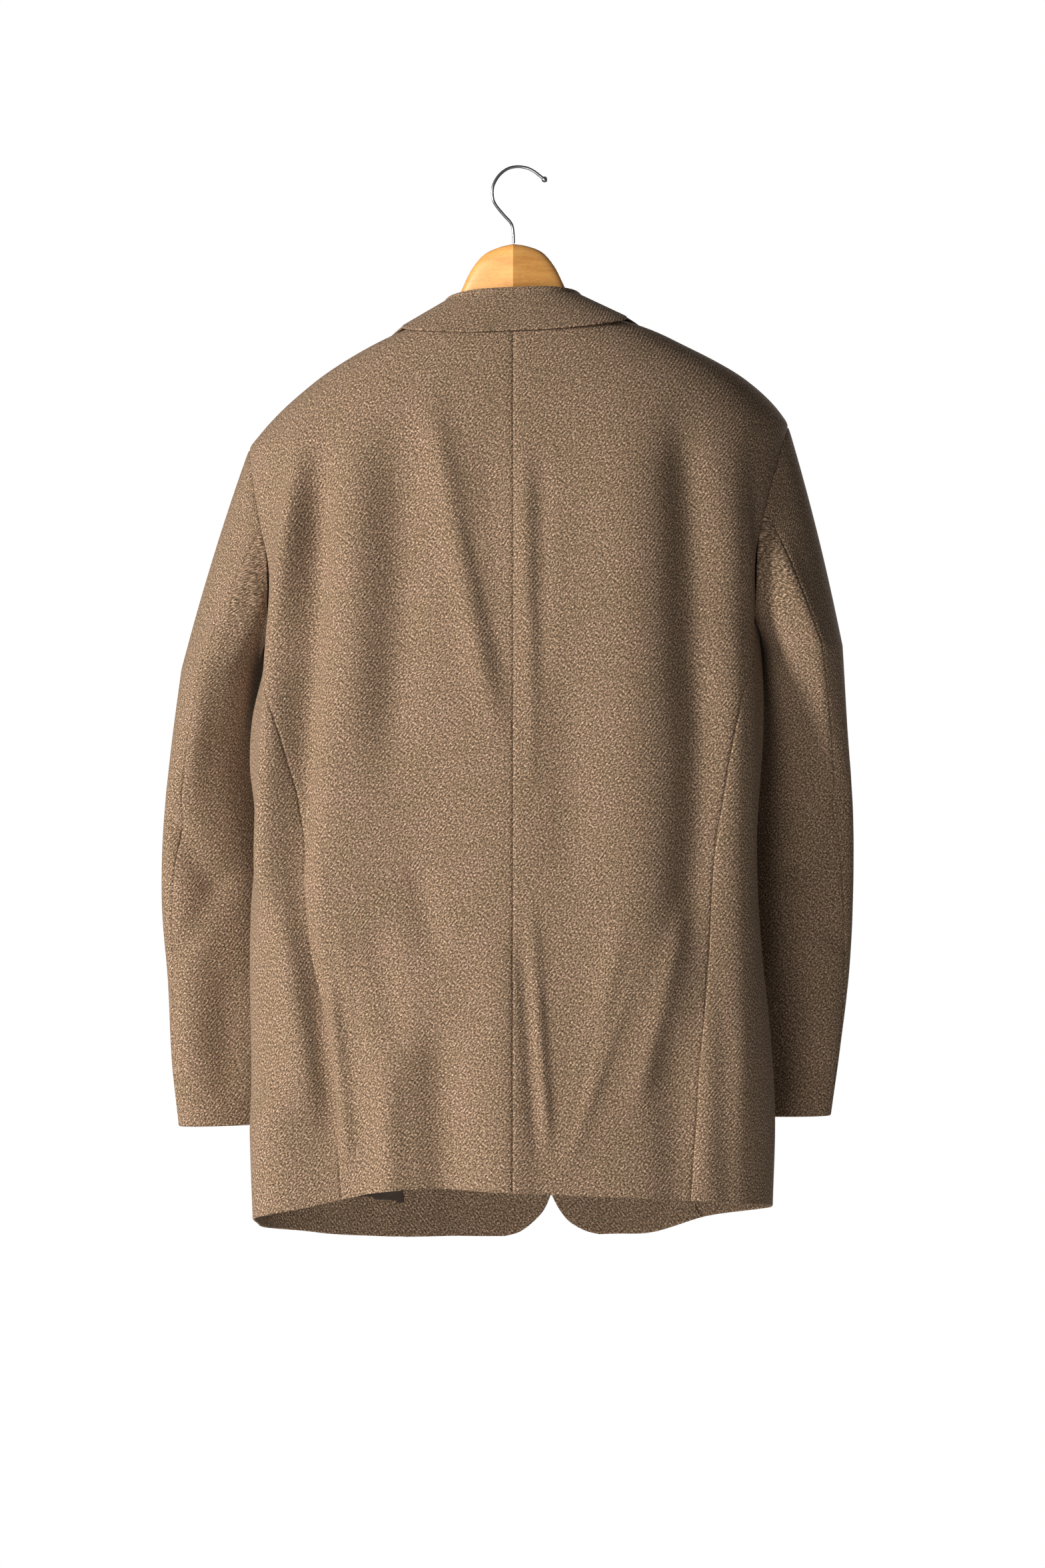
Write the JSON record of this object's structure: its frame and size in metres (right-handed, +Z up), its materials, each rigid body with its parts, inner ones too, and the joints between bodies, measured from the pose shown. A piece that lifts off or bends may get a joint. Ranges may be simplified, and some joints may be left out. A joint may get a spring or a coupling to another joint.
{
  "type": "blazer on a hanger",
  "caption": "Single-breasted tweed blazer with turned-down collar, lapels and long sleeves, hanging on a contoured wooden hanger with a wire hook.",
  "frame": {"origin": "inside top of the hanger's hook, where the rail that carries it lies", "axes": "+Z up, the wearer's front faces -Y, +X to the wearer's left"},
  "size_m": [0.6122, 0.2233, 0.9446],
  "materials": {
    "tweed": "matte brown melange twill tweed",
    "facing_tweed": "matte brown melange twill tweed, inner side",
    "lining": "satin brown lining",
    "horn": "semi-gloss dark brown",
    "wood": "clear honey varnish",
    "chrome": "polished"
  },
  "bodies": {
    "root": {"back_left": "tweed", "back_right": "tweed", "side_left": "tweed", "side_right": "tweed", "front_left": "tweed", "front_right": "tweed", "facing_left": "facing_tweed", "facing_right": "facing_tweed", "lapel_left": "tweed", "lapel_right": "tweed", "upper_sleeve_left": "tweed", "upper_sleeve_right": "tweed", "under_sleeve_left": "tweed", "under_sleeve_right": "tweed", "collar": "tweed", "button_upper": "horn", "button_lower": "horn", "hanger": "wood", "hook": "chrome"}
  },
  "joints": []
}
